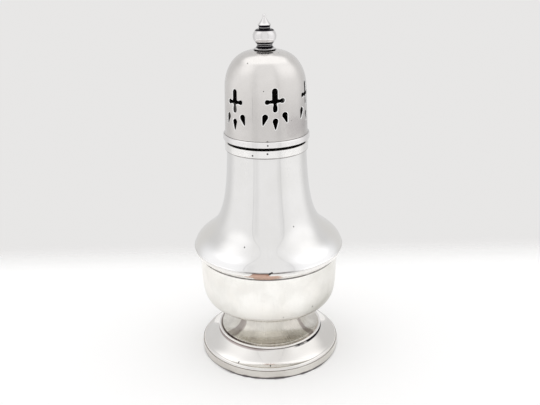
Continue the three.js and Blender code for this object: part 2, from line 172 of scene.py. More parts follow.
def soften(points, sides, size, steps=4):
    """The closed outline with its corners rounded. sides says which face of the sheet each point is on."""
    least_turn = radians(24)
    edge_share = 0.45
    out, out_sides = [], []
    count = len(points)
    for i in range(count):
        before, point, after = (Vector(points[(i + k) % count]) for k in (-1, 0, 1))
        come, go = point - before, after - point
        corner = min(come.length, go.length) > TINY and come.angle(go) > least_turn
        if not corner or point.x < TINY:
            out.append(tuple(point))
            out_sides.append(sides[i])
            continue
        start = point - come.normalized() * min(size, edge_share * come.length)
        end = point + go.normalized() * min(size, edge_share * go.length)
        for k in range(steps + 1):
            t = k / steps
            out.append(tuple(start * (1 - t)**2 + point * 2 * t * (1 - t) + end * t * t))
            out_sides.append(sides[i])
    return out, out_sides


def section_normals(points, closed):
    """Normals (out, up) of a section that runs up its outer side, weighted by the length of its edges."""
    count = len(points)
    normals = []
    for i, (radius, _) in enumerate(points):
        total = Vector((0, 0))
        for a, b in ((i - 1, i), (i, i + 1)):
            if closed or (a >= 0 and b < count):
                step = Vector(points[b % count]) - Vector(points[a % count])
                total += Vector((step.y, -step.x))
        straight = Vector((0, copysign(1, total.y)))
        normals.append(straight if radius < TINY else total.normalized())
    return normals


# Meshes

def new_object(name, data):
    made = bpy.data.objects.new(name, data)
    bpy.context.scene.collection.objects.link(made)
    return made


class Shell:
    """A smooth mesh made of points round the axis, with a normal at each corner of its faces."""

    def __init__(self, steps, first=pi / 2):
        """Its rings have steps points, the first one at a turn in radians."""
        self.steps, self.first, self.step = steps, first, 2 * pi / steps
        self.vertices, self.faces, self.normals, self.face_materials = [], [], [], []

    def point(self, turn, radius, z):
        self.vertices.append((radius * sin(turn), -radius * cos(turn), z))
        return len(self.vertices) - 1

    def ring(self, radius, z):
        """The points round the axis, or the same one again and again on it."""
        if radius < TINY:
            return [self.point(0.0, 0.0, z)] * self.steps
        return [self.point(self.first + i * self.step, radius, z) for i in range(self.steps)]

    def normal(self, index, out, up):
        x, y, _ = self.vertices[index]
        across, length = hypot(x, y) or 1.0, hypot(out, up)
        return x / across * out / length, y / across * out / length, up / length

    def face(self, corners, material):
        """Each corner is a point and its normal."""
        self.faces.append([index for index, _ in corners])
        self.normals += [normal for _, normal in corners]
        self.face_materials.append(material)

    def join(self, low, high, low_normal, high_normal, material):
        """Faces between two rings, which narrow to triangles where one of them is on the axis."""
        for i in range(self.steps):
            k = (i + 1) % self.steps
            ends = {low[i]: low_normal, low[k]: low_normal, high[k]: high_normal, high[i]: high_normal}
            if len(ends) > 2:
                self.face([(index, self.normal(index, *normal)) for index, normal in ends.items()], material)

    def revolve(self, points, sides, closed=False):
        """Turns a section, with material 1 along its inner side. Gives back its rings."""
        rings = [self.ring(radius, z) for radius, z in points]
        normals = section_normals(points, closed)
        for low in range(len(points) if closed else len(points) - 1):
            high = (low + 1) % len(points)
            self.join(rings[low], rings[high], normals[low], normals[high], int(sides[low] and sides[high]))
        return rings

    def dress(self, body, node, slot, materials):
        """Makes the piece that rides with the body and replaces the node."""
        name = "fine_" + node
        mesh = bpy.data.meshes.new(name)
        mesh.from_pydata([tuple(MM * c for c in vertex) for vertex in self.vertices], [], self.faces)
        for material in materials:
            mesh.materials.append(material)
        mesh.polygons.foreach_set("material_index", self.face_materials)
        mesh.polygons.foreach_set("use_smooth", [True] * len(self.faces))
        mesh.update()
        mesh.normals_split_custom_set(self.normals)
        piece = new_object(name, mesh)
        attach(piece, body)
        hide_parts(node)


def turned(body, node, slot, materials, outer, inner=(), steps=TURN_STEPS, edge=EDGE):
    """Makes a turned piece. outer runs up the outside and inner back down; both may end on the axis."""
    points, sides = soften([*outer, *inner], [0] * len(outer) + [1] * len(inner), edge)
    shell = Shell(steps)
    shell.revolve(points, sides, closed=points[0][0] > TINY)
    shell.dress(body, node, slot, materials)


# Node graphs

class Graph:
    """The nodes of a material or a world, with short calls. Each returns the new node's output."""

    def __init__(self, owner):
        owner.use_nodes = True
        self.tree = owner.node_tree
        self.tree.nodes.clear()

    def add(self, kind, inputs=(), out=0, **settings):
        node = self.tree.nodes.new("ShaderNode" + kind)
        for key, value in settings.items():
            setattr(node, key, value)
        for key, value in dict(inputs).items():
            if isinstance(value, bpy.types.NodeSocket):
                self.tree.links.new(value, node.inputs[key])
            else:
                node.inputs[key].default_value = value
        return node.outputs[out] if node.outputs else None

    def math(self, operation, *values):
        return self.add("Math", enumerate(values), operation=operation)

    def product(self, *values):
        return reduce(partial(self.math, "MULTIPLY"), values)

    def sum(self, *values):
        return reduce(partial(self.math, "ADD"), values)

    def most(self, *values):
        return reduce(partial(self.math, "MAXIMUM"), values)

    def less(self, value, taken):
        return self.math("SUBTRACT", value, taken)

    def size(self, value):
        return self.math("ABSOLUTE", value)

    def squares(self, *values):
        """The sum of the squares."""
        return self.sum(*(self.product(value, value) for value in values))

    def turn_of(self, x, y):
        """The turn round the axis, in radians."""
        return self.math("ARCTAN2", x, self.product(y, -1.0))

    def fade(self, value, start, end, low=0.0, high=1.0):
        """Goes from low to high as value goes from start to end, up or down, and stays there."""
        ends = {0: value, 1: start, 2: end, 3: low, 4: high}
        return self.add("MapRange", ends, interpolation_type="SMOOTHSTEP")

    def band(self, value, low, high):
        """1 between two edges. Each is given by where it starts and where it is full."""
        return self.product(self.fade(value, *low), self.fade(value, *high))

    def near(self, value, levels, width):
        """1 at any of the levels, fading to 0 over width."""
        return self.most(*(self.fade(self.size(self.less(value, at)), width, 0.0) for at in levels))

    def mix(self, share, first, second):
        """From the first colour to the second."""
        first, second = (c if isinstance(c, bpy.types.NodeSocket) else (*c, 1) for c in (first, second))
        parts = {0: share, 6: first, 7: second}
        return self.add("Mix", parts, out=2, data_type="RGBA", clamp_factor=True)

    def split(self, vector):
        return self.add("SeparateXYZ", {0: vector}, out=slice(3))


class Skin(Graph):
    """A material, with where a point lies while the caster is at rest, its tone and its roughness.

    place is in metres, x, y, z and radius are in mm, turn is in degrees, and arc is the turn in radians.
    """

    def __init__(self, name):
        self.material = bpy.data.materials.new(name)
        super().__init__(self.material)
        self.place = self.add("TexCoord", out=3)
        self.x, self.y, self.z = (self.product(side, 1 / MM) for side in self.split(self.place))
        self.radius = self.math("SQRT", self.squares(self.x, self.y))
        self.arc = self.turn_of(self.x, self.y)
        self.turn = self.math("DEGREES", self.arc)

    def noise(self, scale, detail=2.0, rough=0.5, at=None):
        look = {"Vector": at or self.place, "Scale": scale, "Detail": detail, "Roughness": rough}
        return self.add("TexNoise", look)

    def swing(self, noise, width):
        """A noise as an even swing to both sides of 0."""
        return self.product(self.less(noise, 0.5), width)

    def streaks(self, round_axis, upward):
        """Places for a noise that is drawn out, with its steps by radian and by mm."""
        along = (self.product(self.arc, round_axis), self.product(self.z, upward), 0.0)
        return self.add("CombineXYZ", enumerate(along))

    def from_spot(self, turn, height, width, tall):
        """The distance from a spot, which is 1 at the edge of an oval of that half width and half height."""
        across = self.product(self.less(self.arc, radians(turn)), self.radius, 1 / width)
        up = self.product(self.less(self.z, height), 1 / tall)
        return self.math("SQRT", self.squares(across, up))

    def one_sided(self, start, end, low=0.0, high=1.0):
        """From low to high as the turn goes from start to end, and back to low behind, without a seam."""
        share = self.product(self.fade(self.turn, start, end), self.fade(self.size(self.turn), 166, 115))
        return self.sum(self.product(share, high - low), low)

    def stain(self, share, colour, dulling=0.0):
        """Mixes in a colour, and roughens the skin by a share of that."""
        self.tone = self.mix(share, self.tone, colour)
        if dulling:
            self.rough = self.sum(self.rough, self.product(share, dulling))

    def finish_metal(self, metal, strength, depth, height):
        """Ends the material as metal, with a bump of that strength and depth in mm."""
        bump = self.add("Bump", {"Strength": strength, "Distance": MM * depth, "Height": height})
        look = {"Base Color": self.tone, "Metallic": metal, "Roughness": self.rough, "Normal": bump}
        self.add("OutputMaterial", {"Surface": self.add("BsdfPrincipled", look)})
        return self.material

    def finish_faded(self, share, shader):
        """Ends the material with a shader that is clear where share is 0."""
        clear = self.add("BsdfTransparent")
        both = self.add("MixShader", {0: share, 1: clear, 2: shader})
        self.add("OutputMaterial", {"Surface": both})
        return self.material


# Silver and its wear

PIT = (0.10, 0.09, 0.08)
MARK = (0.02, 0.016, 0.016)
# Dirt in the joints, and a painted contact shadow where the foot band meets the floor
JOINT_DIRT_AND_SHADE = (0.055, 0.036, 0.032)
BLACK = (0.012, 0.01, 0.014)
COPPER = (0.54, 0.335, 0.25)
COPPER_EDGE = (0.10, 0.05, 0.04)


def pits(skin):
    """1 in small pits, at some of the points of an even scatter."""
    distance, number = skin.add("TexVoronoi", {"Vector": skin.place, "Scale": 210.0}, out=slice(2))
    chosen = skin.fade(skin.add("SeparateColor", {0: number}), 0.86, 0.9)
    return skin.product(skin.fade(distance, 0.06, 0.02), chosen)


def silver(name, colour, shade, roughness, joints=(), hairline=0.5, specks=0.5, marks=(), extra=None):
    """Polished silver plate: cloudy tone, hairlines up and down the skin, pits and small marks.

    Each joint holds dirt, and is given by its height and half its width in mm and how dark it is.
    A joint at height 0 is where the foot stands, and holds a painted contact shadow as well.
    The marks are each given by their turn, their height and their radius in mm.
    """
    skin = Skin(name)
    skin.tone = skin.mix(skin.fade(skin.noise(70.0, 3.0), 0.35, 0.7), colour, shade)
    rubbing_and_sheen = skin.noise(9.0, 6.0, 0.7, at=skin.streaks(9.0, 0.022))
    skin.rough = skin.fade(rubbing_and_sheen, 0.3, 0.8, roughness * 0.8, roughness * 1.3)
    skin.stain(skin.fade(rubbing_and_sheen, 0.45, 0.75, 0.0, 0.12 * hairline), [c * 0.6 for c in shade])
    skin.stain(skin.product(pits(skin), specks), PIT)
    if joints:
        lines = [skin.product(skin.near(skin.z, [at], width), darkness) for at, width, darkness in joints]
        ragged = skin.fade(skin.noise(420.0), 0.3, 0.62, 0.75, 1.0)
        skin.stain(skin.product(skin.most(*lines), ragged), JOINT_DIRT_AND_SHADE, 0.3)
    if marks:
        spots = [skin.from_spot(turn, height, size, size) for turn, height, size in marks]
        skin.stain(skin.most(*(skin.fade(spot, 1.0, 0.5) for spot in spots)), MARK)
    if extra:
        extra(skin)
    height = skin.sum(skin.product(rubbing_and_sheen, 0.0006 * hairline), skin.noise(60.0))
    return skin.finish_metal(1.0, 0.35, 0.04, height)


def dull(name, colour, roughness):
    """The unpolished inside of the sheet, darkened by age."""
    skin = Skin(name)
    cloud = skin.noise(160.0, 5.0, 0.6)
    skin.tone = skin.mix(skin.fade(cloud, 0.3, 0.7), [c * 0.45 for c in colour], colour)
    skin.rough = skin.fade(cloud, 0.3, 0.7, roughness, roughness * 0.75)
    return skin.finish_metal(0.8, 0.5, 0.08, skin.noise(2.0, at=skin.streaks(0.6, 0.9)))


def copper_bleed(skin):
    """Copper where the plate is worn through, at the front of the girdle, with a brown upper edge."""
    turn, z = skin.turn, skin.z
    ragged = skin.swing(skin.noise(4.0, 4.0, at=skin.streaks(1.6, 0.52)), 40.1)
    from_middle = skin.sum(skin.size(skin.less(turn, -5)), ragged)
    below_lip = skin.fade(z, GIRDLE_TOP + 0.6, GIRDLE_TOP + 0.5)
    worn = skin.product(skin.fade(from_middle, 17, 9, 0.0, 0.9), below_lip)
    # It tapers to a streak on the left, and leaves the upper edge plated on the right
    left_top = skin.fade(turn, -16, -10, GIRDLE_TOP - 1.2, GIRDLE_TOP + 0.2)
    right_top = skin.fade(turn, -2, 1, GIRDLE_TOP + 0.2, GIRDLE_TOP - 0.75)
    foot = skin.fade(turn, -16, -9, GIRDLE_TOP - 1.8, GIRDLE_TOP - 3.0)
    above = skin.less(z, skin.math("MINIMUM", left_top, right_top))
    outside = skin.most(above, skin.less(foot, z))
    worn = skin.product(worn, skin.fade(outside, 0.15, -0.15))
    skin.stain(worn, COPPER)
    skin.stain(skin.product(worn, skin.near(z, [GIRDLE_TOP], 0.5)), COPPER_EDGE)


def bell_highlights_and_copper(skin):
    """The bell is painted brighter low on both sides, as painted highlights, and warmer further round, with
    copper where it is worn.
    """
    aside = skin.size(skin.turn)
    # Painted highlights low on both sides of the bell
    painted_highlight = skin.product(skin.fade(skin.z, GIRDLE_TOP + 6.0, GIRDLE_TOP + 3.2),
                          skin.fade(aside, 8.6, 28.6), skin.fade(aside, 57.3, 77.3, 1.0, 0.25))
    skin.stain(painted_highlight, (0.985, 0.98, 0.98))
    low = skin.fade(skin.z, GIRDLE_TOP + 14, GIRDLE_TOP + 6)
    skin.stain(skin.product(skin.fade(aside, 57.3, 77.3, 0.0, 0.6), low), (0.855, 0.83, 0.785))
    copper_bleed(skin)


def neck_dark_reflection(skin):
    """Black painted in the two ringed necks of the finial as painted dark reflection, kept off their rings.
    """
    low = skin.fade(skin.z, NECK_TOP + 0.55, NECK_TOP + 0.4)
    high = skin.band(skin.z, (BALL_TOP - 0.5, BALL_TOP - 0.3), (SPIRE_FOOT, SPIRE_FOOT - 0.1))
    rings = skin.near(skin.z, (SEAT_TOP + 0.6, SEAT_TOP + 1.15, BALL_TOP + 0.55), 0.12)
    # Painted dark reflection in the necks
    skin.stain(skin.product(skin.most(low, high), skin.less(1.0, rings)), BLACK, 0.25)


def sleeve_wear_and_shoulder_shadow(skin):
    """The sleeve is worn, and its shoulder, which shows at rest as a black line in the gap under the rim, is
    painted black as painted shadow.
    """
    skin.stain(skin.fade(skin.noise(240.0, 4.0, 0.6), 0.4, 0.65, 0.0, 0.3), (0.42, 0.36, 0.28))
    # Painted shadow on the shoulder, in the gap under the rim
    skin.stain(skin.fade(skin.z, COLLAR_TOP - 0.4, COLLAR_TOP - 0.15), (0.005, 0.0045, 0.0045), 0.3)


def dirt_and_shadow_reach(skin):
    """How far the dirt and the painted contact shadow along the foot's lower edge reach, ragged, in mm."""
    return skin.fade(skin.noise(150.0, 3.0, 0.6), 0.35, 0.6, 0.3, 1.1)


def in_front(skin):
    return skin.fade(skin.size(skin.less(skin.turn, 5.7)), 28.6, 54.4, 1.0, 0.12)


def band_tint_and_contact_shadow(skin):
    """The foot band is a little browner on the left, with ragged dirt and a painted contact shadow along its
    lower edge in front.
    """
    skin.stain(skin.one_sided(40.1, -51.6, 0.0, 0.2), (0.42, 0.36, 0.33))
    crust_and_shadow = skin.product(skin.fade(skin.z, 0.0, dirt_and_shadow_reach(skin), 0.7, 0.0), in_front(skin))
    skin.stain(crust_and_shadow, (0.03, 0.022, 0.026), 0.3)


def foot_joint_dirt(skin):
    """Black packed into the joint of ring and foot on the right, and a brown line along it on the left."""
    above = skin.less(skin.z, FOOT_DOME_TOP)
    line = skin.band(above, (-0.75, -0.5), (0.4, 0.25))
    left = skin.band(skin.turn, (-97.4, -74.5), (5.7, -17.2))
    skin.stain(skin.product(line, left, 0.55), (0.17, 0.095, 0.09))
    right = skin.band(skin.turn, (24.1, 33.2), (114.6, 91.7))
    ragged = skin.fade(skin.noise(230.0), 0.3, 0.45, 0.4, 1.0)
    skin.stain(skin.product(line, right, ragged), BLACK, 0.3)


def ring_dirt(skin):
    """Brown dirt in the ring's groove on the left, besides what its outer joint holds."""
    left = skin.band(skin.turn, (-149.0, -126.1), (-14.3, -28.6))
    groove = skin.near(skin.radius, [RING_RADIUS - 1.15], 0.75)
    skin.stain(skin.product(groove, left, 0.9), (0.10, 0.055, 0.05))
    foot_joint_dirt(skin)


def stem_clouds_and_painted_reflections(skin):
    """The stem is painted paler at its foot and on its left as painted reflection, with a painted dark
    reflection at each side, the left one wider, and clouds of tarnish.
    """
    rubbing_and_sheen = skin.fade(skin.z, RING_TOP + 2.4, RING_TOP + 0.6)
    # Painted reflection: paler at the foot and on the left
    skin.stain(skin.most(rubbing_and_sheen, skin.one_sided(-60.2, -74.5, 0.0, 0.7)), (0.87, 0.845, 0.79))
    wavy = skin.swing(skin.noise(120.0, 3.0), 14.3)
    # Painted dark reflections at both sides
    painted_dark_reflections = []
    for middle, inner, outer in ((-53.3, 5.2, 9.7), (58.4, 1.7, 6.3)):
        away = skin.size(skin.sum(skin.less(skin.turn, middle), wavy))
        painted_dark_reflections.append(skin.fade(away, outer, inner, 0.0, 0.7))
    low = skin.fade(skin.z, RING_TOP + 7, RING_TOP + 4)
    cloud = skin.fade(skin.noise(190.0, 5.0, 0.6), 0.35, 0.65, 0.0, 0.22)
    share = skin.sum(skin.product(skin.most(*painted_dark_reflections), low), cloud, skin.one_sided(17.2, 51.6, 0.0, 0.1))
    skin.stain(share, (0.32, 0.28, 0.26))


def bowl_clouds_and_painted_reflection(skin):
    """A painted dark reflection low on the bowl, more at its sides than in front, and most on the right, with
    clouds of faint tarnish.
    """
    # Painted dark reflection of the shaded foot and floor
    low = skin.fade(skin.z, STEM_TOP + 11.5, STEM_TOP + 2.5)
    aside = skin.fade(skin.size(skin.turn), 20.1, 51.6, 0.26, 0.44)
    low_painted_reflection = skin.product(low, skin.sum(aside, skin.one_sided(11.5, 45.8, 0.0, 0.5)))
    cloud = skin.fade(skin.noise(110.0, 6.0, 0.65), 0.4, 0.7, 0.0, 0.2)
    right = skin.one_sided(22.9, 63.0, 0.0, 0.4)
    left = skin.one_sided(-28.6, -63.0, 0.0, 0.12)
    skin.stain(skin.sum(low_painted_reflection, cloud, right, left), (0.50, 0.485, 0.44))


def dome_marks_and_painted_shade(skin):
    """The dome's lower half is darker and its right side is painted darker as painted shade, with two
    scratches, a smudge low on the right and a crown painted dark as painted shadow round the seat.
    """
    cloud = skin.noise(150.0, 5.0, 0.6)
    low = skin.product(skin.fade(skin.z, RIM_TOP + 19, RIM_TOP + 6), skin.one_sided(-51.6, 0.0, 0.18, 0.38))
    # Painted shade on the right side, below the crown
    right = skin.product(skin.one_sided(11.5, 40.1, 0.0, 0.24), skin.fade(skin.z, RIM_TOP + 24, RIM_TOP + 19))
    scratches = skin.product(skin.near(skin.turn, (-18.0, 18.5), 0.8), 0.35,
                             skin.band(skin.z, (RIM_TOP + 6, RIM_TOP + 9), (RIM_TOP + 17, RIM_TOP + 13)))
    mottled = skin.fade(cloud, 0.45, 0.7, 0.0, 0.1)
    skin.stain(skin.sum(low, right, mottled, scratches), (0.48, 0.46, 0.45))
    from_smudge = skin.sum(skin.from_spot(49.3, RIM_TOP + 4.2, 6.2, 2.6), skin.swing(cloud, 4.0))
    skin.stain(skin.fade(from_smudge, 1.5, 0.0, 0.0, 0.4), (0.40, 0.37, 0.37), 0.15)
    # Painted shadow round the seat, on the crown
    skin.stain(skin.fade(skin.radius, SEAT_RADIUS + 0.35, SEAT_RADIUS + 0.05), (0.03, 0.025, 0.032))


# Finishes

inside = dull("inside_metal", (0.30, 0.27, 0.22), 0.5)
# The cover's inside is near black: partly metal darkened by age, partly painted shade
aged_and_shaded_inside = dull("cover_inside_metal", (0.035, 0.03, 0.028), 0.6)
foot_plate = silver(
    "foot_silver", (0.835, 0.815, 0.79), (0.78, 0.755, 0.725), 0.09,
    joints=((FOOT_RIM_TOP, 0.2, 0.4), (FOOT_DOME_TOP, 0.4, 1.0)),
    marks=((-28.5, 4.07, 0.26), (-0.3, 4.15, 0.25)), extra=foot_joint_dirt)
# Its joint at height 0 holds dirt and a painted contact shadow along the floor
band_plate = silver(
    "band_silver", (0.775, 0.755, 0.715), (0.685, 0.66, 0.62), 0.16,
    joints=((0.0, 0.6, 0.8), (FOOT_RIM_TOP, 0.12, 0.3)), extra=band_tint_and_contact_shadow)
ring_plate = silver(
    "ring_silver", (0.90, 0.88, 0.86), (0.83, 0.80, 0.77), 0.12,
    joints=((FOOT_DOME_TOP, 0.4, 1.0),), extra=ring_dirt)
stem_plate = silver(
    "stem_silver", (0.79, 0.76, 0.70), (0.70, 0.67, 0.60), 0.25,
    joints=((STEM_TOP, 0.3, 1.0),), hairline=0.15, extra=stem_clouds_and_painted_reflections)
bowl_plate = silver(
    "bowl_silver", (0.975, 0.965, 0.93), (0.945, 0.92, 0.875), 0.22,
    joints=((BOWL_TOP - 0.2, 0.35, 1.0),), hairline=1.0,
    marks=((38.1, 25.45, 0.45), (11.3, 23.8, 0.25)), extra=bowl_clouds_and_painted_reflection)
girdle_plate = silver(
    "girdle_silver", (0.94, 0.925, 0.90), (0.895, 0.87, 0.84), 0.12,
    joints=((BOWL_TOP + 0.1, 0.3, 1.0), (GIRDLE_TOP, 0.3, 1.0)),
    marks=((-1.6, 42.05, 0.45), (-0.6, 42.3, 0.55), (0.4, 42.5, 0.55)), extra=copper_bleed)
bell_plate = silver(
    "bell_silver", (0.86, 0.85, 0.84), (0.825, 0.815, 0.80), 0.08,
    joints=((GIRDLE_TOP + 0.3, 0.42, 1.0), (BELL_TOP, 0.4, 1.0)),
    marks=((30.1, 54.7, 0.26), (-22.4, 49.4, 0.26), (0.8, 42.75, 0.5), (2.0, 43.05, 0.4)),
    extra=bell_highlights_and_copper)
collar_plate = silver(
    "collar_silver", (0.93, 0.92, 0.905), (0.90, 0.885, 0.865), 0.14,
    joints=((BELL_TOP, 0.45, 1.0),), marks=((-19.1, 80.2, 0.38), (0.9, 80.95, 0.42)))
rim_plate = silver(
    "rim_silver", (0.885, 0.87, 0.865), (0.84, 0.82, 0.815), 0.12,
    joints=((RIM_TOP, 0.16, 0.45),), marks=((1.4, 83.95, 0.36),))
dome_plate = silver(
    "dome_silver", (0.79, 0.765, 0.742), (0.73, 0.705, 0.682), 0.19,
    joints=((RIM_TOP, 0.22, 0.5),), specks=0.8,
    marks=((-32.5, 110.2, 0.22), (-2.8, 101.9, 0.22), (36.0, 91.5, 0.25), (1.1, 85.1, 0.45)),
    extra=dome_marks_and_painted_shade)
cast_plate = silver(
    "cast_silver", (0.80, 0.79, 0.78), (0.72, 0.70, 0.69), 0.12,
    joints=((DOME_TOP + 0.15, 0.45, 1.0), (SEAT_TOP, 0.12, 1.0)))
finial_plate = silver("finial_silver", (0.85, 0.84, 0.84), (0.77, 0.75, 0.745), 0.09, extra=neck_dark_reflection)
bezel_plate = silver(
    "bezel_silver", (0.70, 0.67, 0.61), (0.55, 0.51, 0.45), 0.26, hairline=2.0, specks=1.0,
    extra=sleeve_wear_and_shoulder_shadow)
# The walls of the piercings are near black: partly blackened cut metal, partly painted shade
cut_plate = silver("pierced_edge_metal", (0.12, 0.115, 0.11), (0.06, 0.055, 0.05), 0.4)
# The chamfers round the piercings are nearly white: partly polished by wear, partly painted highlight
rubbed_and_highlit_edge_plate = silver("rubbed_and_highlit_edge_silver", (0.97, 0.965, 0.955), (0.93, 0.92, 0.91), 0.25)


# Turned pieces

def make_foot():
    inner = FOOT_RADIUS - BAND_WIDTH
    outer = [(inner, 0.0), (FOOT_RADIUS, 0.0), (FOOT_RADIUS, FOOT_RIM_TOP), (inner, FOOT_RIM_TOP)]
    back = [(inner, FOOT_RIM_TOP), (inner, 0.0)]
    turned("base", "foot_rim", "foot_plate", [band_plate, inside], outer, back)

    start, end = (FOOT_DOME_RADIUS, FOOT_RIM_TOP), (RING_RADIUS - 0.4, FOOT_DOME_TOP)
    toe = (start[0] - 0.8, start[1] + 0.95)
    outer = sweep(start, (start[0], start[1] + 0.45), (toe[0] + 0.45, toe[1]), toe, 10)
    outer += sweep(toe, (toe[0] - 1.2, toe[1] + 0.36), (end[0] + 1.8, end[1] - 1.98), end, 24)[1:]
    inner = lining(outer, FOOT_WALL, FOOT_RIM_TOP, FOOT_DOME_TOP)
    turned("base", "foot_dome", "foot_plate", [foot_plate, inside], outer, inner)

    # The ring closes on the stem's flange
    edge, inner = FLANGE_RADIUS + 0.03, FLANGE_RADIUS - 1.97
    bead = half_round((RING_RADIUS - 0.5, (FOOT_DOME_TOP + RING_TOP) / 2), 0.5, 0.5)
    outer = [(inner, FOOT_DOME_TOP), *bead, (edge, RING_LEDGE), (inner, RING_LEDGE)]
    turned("base", "foot_ring", "foot_plate", [ring_plate], outer, edge=0.08)

    foot = (FLANGE_RADIUS - 0.6, RING_LEDGE + 0.75)
    waist = (WAIST_RADIUS, STEM_TOP - 1.85)
    hollow = sweep(foot, (foot[0] - 3.8, foot[1] + 0.3), (waist[0], waist[1] - 3.6), waist, 28)
    hollow += [(waist[0] + 0.8, STEM_TOP)]
    outer = [(FLANGE_RADIUS, RING_LEDGE), (FLANGE_RADIUS, foot[1]), *hollow]
    inner = lining(hollow, FOOT_WALL, RING_LEDGE, STEM_TOP)
    turned("base", "foot_stem", "foot_plate", [stem_plate, inside], outer, inner)


def make_bowl():
    belly = (BOWL_RADIUS - 0.2, STEM_TOP + 12.1)
    pull = (BOWL_RADIUS - 1.8, STEM_TOP + 0.6)
    side = sweep((BOWL_FOOT_RADIUS, STEM_TOP), pull, (belly[0] - 0.3, belly[1] - 9.8), belly, 40)
    side += [(BOWL_RADIUS, BOWL_TOP)]
    floor = STEM_TOP + BODY_WALL
    inner = [*lining(side, BODY_WALL, floor, BOWL_TOP), (0.0, floor)]
    turned("base", "lower_body", "body_plate", [bowl_plate, inside], [(0.0, STEM_TOP), *side], inner)


def make_girdle():
    inner = BOWL_RADIUS - BODY_WALL
    step = (BOWL_RADIUS + 0.3, BOWL_TOP + 0.7)
    bead = (GIRDLE_RADIUS, GIRDLE_TOP - 0.7)
    outer = [(inner, BOWL_TOP), (BOWL_RADIUS, BOWL_TOP), (step[0], BOWL_TOP + 0.4)]
    outer += sweep(step, (step[0] + 0.6, step[1]), (bead[0], bead[1] - 0.9), bead)
    outer += [(GIRDLE_RADIUS - 0.2, GIRDLE_TOP), (inner, GIRDLE_TOP)]
    back = [(inner, GIRDLE_TOP), (inner, BOWL_TOP)]
    turned("base", "girdle", "girdle_plate", [girdle_plate, inside], outer, back, edge=0.1)


def make_bell():
    lip_top = GIRDLE_TOP + 0.6
    foot = (LIP_RADIUS - 0.2, lip_top)
    shoulder = (NECK_RADIUS + 6.4, GIRDLE_TOP + 7.9)
    come, go = (shoulder[0] + 2.9, shoulder[1] - 2.726), (shoulder[0] - 4.4, shoulder[1] + 4.136)
    flare = sweep(foot, (foot[0] - 0.6, foot[1] + 3.2), come, shoulder, 24)
    flare += sweep(shoulder, go, (NECK_RADIUS + 0.5, BELL_TOP - 16), (NECK_RADIUS, BELL_TOP), 36)[1:]
    outer = [(foot[0], GIRDLE_TOP), (LIP_RADIUS, GIRDLE_TOP + 0.2), (LIP_RADIUS, lip_top - 0.2), *flare]
    inner = lining(flare, BODY_WALL, GIRDLE_TOP, BELL_TOP)
    turned("base", "upper_body", "body_plate", [bell_plate, inside], outer, inner)

    outer = [(BORE, BELL_TOP), (COLLAR_RADIUS, BELL_TOP), (COLLAR_RADIUS, COLLAR_TOP - 0.1),
             (BORE, COLLAR_TOP)]
    inner = [(BORE, COLLAR_TOP), (BORE, BELL_TOP)]
    turned("base", "neck_collar", "body_plate", [collar_plate, inside], outer, inner, edge=0.3)


def make_cover_mouth():
    outer = [(BEZEL_BORE, BEZEL_BOTTOM), (BEZEL_RADIUS, BEZEL_BOTTOM), (BEZEL_RADIUS, COLLAR_TOP),
             (BEZEL_SHOULDER, COLLAR_TOP), (BEZEL_SHOULDER, BEZEL_TOP), (BEZEL_BORE, BEZEL_TOP)]
    inner = [(BEZEL_BORE, BEZEL_TOP), (BEZEL_BORE, BEZEL_BOTTOM)]
    turned("cover", "cover_bezel", "cover_plate", [bezel_plate, aged_and_shaded_inside], outer, inner)

    foot, bead = BEZEL_TOP - 0.22, RIM_TOP - 0.35
    outer = [(BEZEL_RADIUS, foot), (RIM_RADIUS, foot), (RIM_RADIUS, bead), (DOME_FOOT_RADIUS, RIM_TOP),
             (BEZEL_RADIUS, RIM_TOP)]
    inner = [(BEZEL_RADIUS, RIM_TOP), (BEZEL_RADIUS, BEZEL_TOP)]
    turned("cover", "cover_rim", "cover_plate", [rim_plate, aged_and_shaded_inside], outer, inner, edge=0.2)


